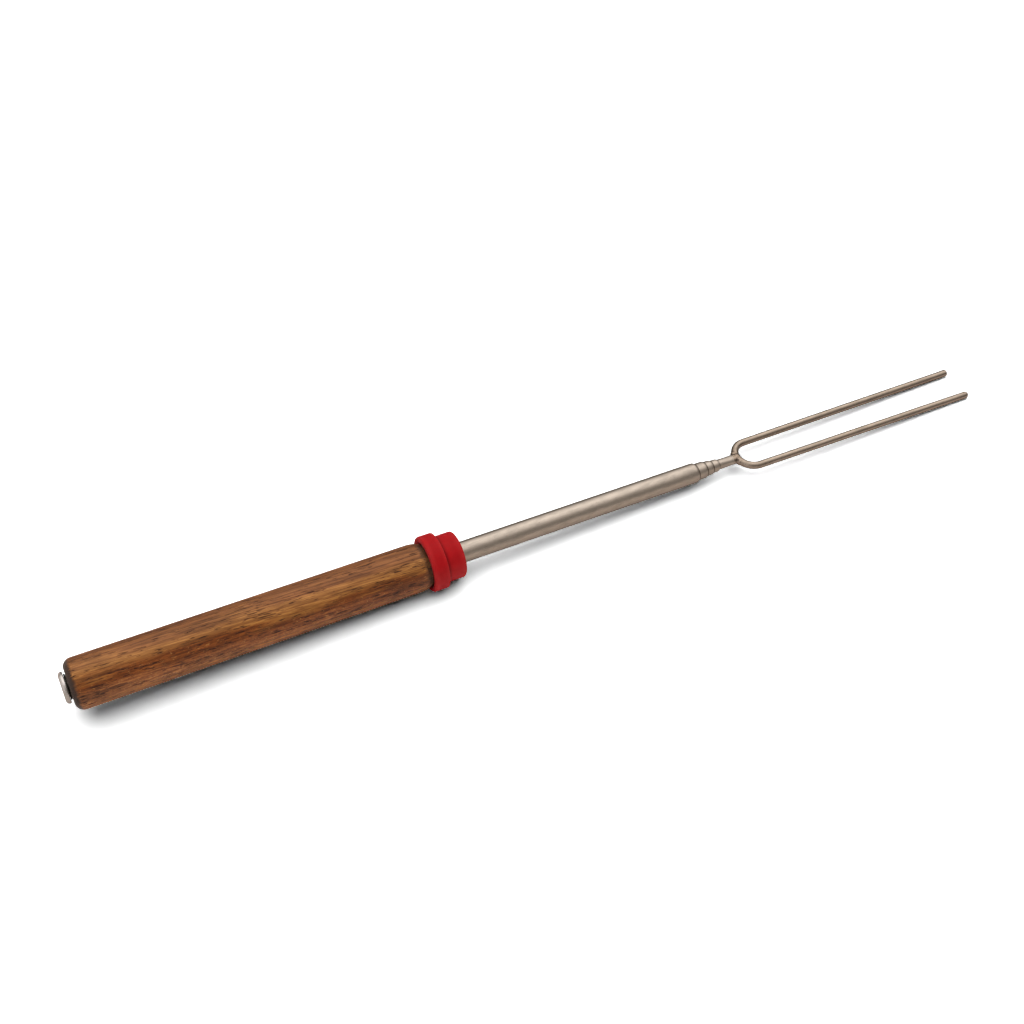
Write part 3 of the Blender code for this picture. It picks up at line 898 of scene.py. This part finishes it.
def weld_lumps():
    """Centres and half axes of all the lumps that the weld bead is cast from."""
    base = fork_size()[0]
    bend = FORK_BASE_SPACING / 2
    lumps = [weld_lump(*lump) for lump in WELD_MIDDLE_LUMPS]
    for side in (-1, 1):
        lumps.append(weld_lump(*WELD_SIDE_LUMP, side))
        for i in range(WELD_ARM_LUMPS):
            share = i / WELD_ARM_LUMPS
            angle = WELD_ARM_ANGLE * share
            size = WIRE_RADIUS + (0.08 - 0.16 * share) * MM
            centre = Vector((base + bend * (1 - math.cos(angle)), side * bend * math.sin(angle), 0.0))
            lumps.append((centre, (size, size, size)))
    return lumps


def build_fork_weld(steel):
    """Weld bead: overlapping rounded shapes fused, smoothed and slightly lumpy, with painted shade in a
    pit.
    """
    lump = bmesh.new()
    for centre, size in weld_lumps():
        made = bmesh.ops.create_icosphere(lump, subdivisions=3, radius=1.0)
        bmesh.ops.scale(lump, vec=size, verts=made["verts"])
        bmesh.ops.translate(lump, vec=centre, verts=made["verts"])
    mesh = bpy.data.meshes.new("fork_weld_bead")
    lump.to_mesh(mesh)
    lump.free()
    weld = add_object("fork_weld_bead", mesh)
    fuse = weld.modifiers.new("Fuse", "REMESH")
    fuse.mode = "VOXEL"
    fuse.voxel_size = WELD_VOXEL
    soften = weld.modifiers.new("Soften", "SMOOTH")
    soften.factor = 0.5
    soften.iterations = WELD_SMOOTHING
    depsgraph = bpy.context.evaluated_depsgraph_get()
    cast = bpy.data.meshes.new_from_object(weld.evaluated_get(depsgraph))
    bpy.data.objects.remove(weld, do_unlink=True)
    pit = weld_lump(PIT_PLACE, ())[0]
    marks = []
    for vertex in cast.vertices:
        point = vertex.co / MM
        ripple = noise.noise(point * 1.1) * 0.05 + noise.noise(point * 3.0) * 0.02
        hole = math.exp(-((vertex.co - pit).length / (PIT_SIZE * MM)) ** 2)
        vertex.co = vertex.co + vertex.normal * (ripple - PIT_DEPTH * hole) * MM
        # Painted shade in the pit and, a little, in the bead's dips.
        marks.append(0.15 * ripple - 1.4 * hole)
    layer = cast.attributes.new("wear_and_shade", "FLOAT", "POINT")
    layer.data.foreach_set("value", marks)
    weld = finish_mesh("fork_weld_bead", cast)
    place(weld, steel, "fork_steel", f"stage_{STAGES}", "fork_weld")


# ---------------------------------------------------------------- stage, light, camera


def marker(name, parent=None, location=(0.0, 0.0, 0.0)):
    """Empty that constraints follow."""
    made = add_object(name, None)
    made.parent = parent
    made.location = location
    return made


def build_floor():
    """Pale floor that touches the wheel's rim and the lower tine tip at every pose."""
    wheel_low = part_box("thumb_wheel")[0]
    _, tip_station, tip_side = fork_size()
    holder = frame["bodies"][f"stage_{STAGES}"]
    tips = [
        marker("near_tip_marker", holder, (tip_station, -tip_side, 0.0)),
        marker("far_tip_marker", holder, (tip_station, tip_side, 0.0)),
    ]
    lowest = marker("lowest_tip_marker")
    follow = lowest.constraints.new("COPY_LOCATION")
    follow.target = tips[0]
    follow.use_y = False
    follow.use_z = False
    for tip in tips:
        under = lowest.constraints.new("FLOOR")
        under.target = tip
        under.floor_location = "FLOOR_NEGATIVE_Z"
    touch = marker("tip_contact_marker", lowest, (0.0, 0.0, -WIRE_RADIUS))
    mesh = bpy.data.meshes.new("floor")
    corners = [(x * FLOOR_HALF, y * FLOOR_HALF, 0.0) for x, y in ((-1, -1), (1, -1), (1, 1), (-1, 1))]
    mesh.from_pydata(corners, [], [(0, 1, 2, 3)])
    floor = add_object("floor", mesh)
    floor.location = (wheel_low.x + WHEEL_STEP_STATION / 2, 0.0, wheel_low.z)
    aim = floor.constraints.new("DAMPED_TRACK")
    aim.target = touch
    aim.track_axis = "TRACK_X"
    floor.data.materials.append(floor_material())


def floor_material():
    """White paper floor: bright to the camera and in its bounce, dimmer where metal mirrors it, as painted
    shade in the reflection.

    Metal sees it darkest on the far side of the shaft, ahead of the butt: more painted shade in the
    reflection.
    """
    material = bpy.data.materials.new("floor_paper")
    material.use_nodes = True
    tree = material.node_tree
    tree.nodes.clear()
    path = node(tree, "LightPath")
    camera, glossy = path.outputs["Is Camera Ray"], path.outputs["Is Glossy Ray"]
    parts = node(tree, "SeparateXYZ", {0: node(tree, "NewGeometry").outputs["Position"]})
    beside = between(tree, parts.outputs["X"], -8 * MM, 8 * MM)
    # Painted shade in the reflection, darkest on the far side of the shaft.
    shade_behind = maths(tree, "MULTIPLY", beside, between(tree, parts.outputs["Y"], 1 * MM, 12 * MM))
    mirrored = blend(tree, shade_behind, FLOOR_MIRRORED, FLOOR_MIRRORED_BEHIND)
    colour = blend(tree, glossy, FLOOR_BOUNCE, mirrored)
    colour = blend(tree, camera, colour, FLOOR_SEEN)
    paper = node(tree, "BsdfDiffuse", {"Color": colour})
    node(tree, "OutputMaterial", {0: paper.outputs[0]})
    return material


def studio_white(level):
    """White of a brightness, warmer where it is dim."""
    share = min(level, 1.0)
    return (level, level * (0.91 + 0.06 * share), level * (0.83 + 0.10 * share), 1.0)


def build_world():
    """Studio that only the camera and glossy surfaces see: brightest above, with a card off the butt."""
    world = bpy.data.worlds.new("studio")
    bpy.context.scene.world = world
    world.cycles_visibility.diffuse = False
    world.use_nodes = True
    tree = world.node_tree
    tree.nodes.clear()
    direction = node(tree, "TexCoord").outputs["Generated"]
    parts = node(tree, "SeparateXYZ", {0: direction})
    toward = times(tree, parts.outputs["Y"], -1.0)
    around = maths(tree, "ARCTAN2", toward, parts.outputs["Z"])
    turn = maths(tree, "ADD", maths(tree, "DIVIDE", around, 2 * math.pi), 0.5)
    stops = [(angle / 360.0 + 0.5, studio_white(level)) for angle, level in STUDIO_LEVELS]
    light = ramp(tree, turn, stops)
    butt_side = between(tree, parts.outputs["X"], -0.30, -0.75)
    light = blend(tree, butt_side, light, BUTT_PANEL)
    fade = between(tree, parts.outputs["X"], 0.55, 0.95, STUDIO_STRENGTH, 0.35 * STUDIO_STRENGTH)
    glow = node(tree, "Background", {"Color": light, "Strength": fade})
    white = node(tree, "Background", {"Color": (1.0, 1.0, 1.0, 1.0), "Strength": 1.0})
    seen = node(tree, "LightPath").outputs["Is Camera Ray"]
    mixed = node(tree, "MixShader", {0: seen, 1: glow.outputs[0], 2: white.outputs[0]})
    node(tree, "OutputWorld", {0: mixed.outputs[0]})


def build_sun(name, energy, angle, tilt):
    """Broad soft light from above, tilted back by an angle; the metal doesn't mirror it."""
    light = bpy.data.lights.new(name, "SUN")
    light.energy = energy
    light.angle = math.radians(angle)
    light.cycles.use_multiple_importance_sampling = False  # else it leaks past the pieces
    sun = add_object(name, light)
    sun.rotation_euler.x = math.radians(-tilt)
    sun.visible_glossy = False


def build_camera():
    """Camera at the viewing angle."""
    camera = add_object("camera", bpy.data.cameras.new("camera"))
    camera.data.lens = CAMERA_LENS
    camera.data.clip_start = 1 * MM
    camera.data.shift_x, camera.data.shift_y = CAMERA_SHIFT
    camera.location = CAMERA_PLACE
    camera.rotation_euler = [math.radians(a) for a in CAMERA_TURN]
    bpy.context.scene.camera = camera


def build_fork():
    """All pieces of the roasting fork."""
    nylon = plastic_material("black_nylon", srgb(42, 41, 41), srgb(74, 72, 70), 0.5, 0.02 * MM)
    weld_place = (fork_size()[0] - 0.5 * MM, 0.0, 0.0)
    drawn = steel_material("drawn_tube_steel", srgb(196, 184, 172), 0.30, (9.0, 0.10, 0.10), weld_place)
    wire_colour = srgb(175, 160, 146)
    wire = steel_material("fork_wire_steel", wire_colour, 0.17, (7.0, 0.30, 0.30), weld_place, 1.6)
    brass = steel_material("spring_brass", srgb(202, 170, 98), 0.28, (4.0, 0.10, 0.10))
    build_grip()
    build_bushings(nylon)
    build_washers(nylon, steel_material("washer_steel", srgb(58, 52, 48), 0.40, (0.12, 3.0, 3.0)))
    build_main_tube(drawn)
    build_end_button()
    build_thumb_wheel()
    for index in range(1, STAGES):
        build_stage_tube(index, drawn)
    build_inner_tube(drawn)
    for index in range(1, STAGES + 1):
        build_springs(index, brass)
    build_fork_wire(wire)
    build_fork_weld(wire)


build_fork()
build_floor()
build_world()
for sun_settings in SUNS:
    build_sun(*sun_settings)
build_camera()
bpy.context.scene.view_settings.view_transform = "Standard"
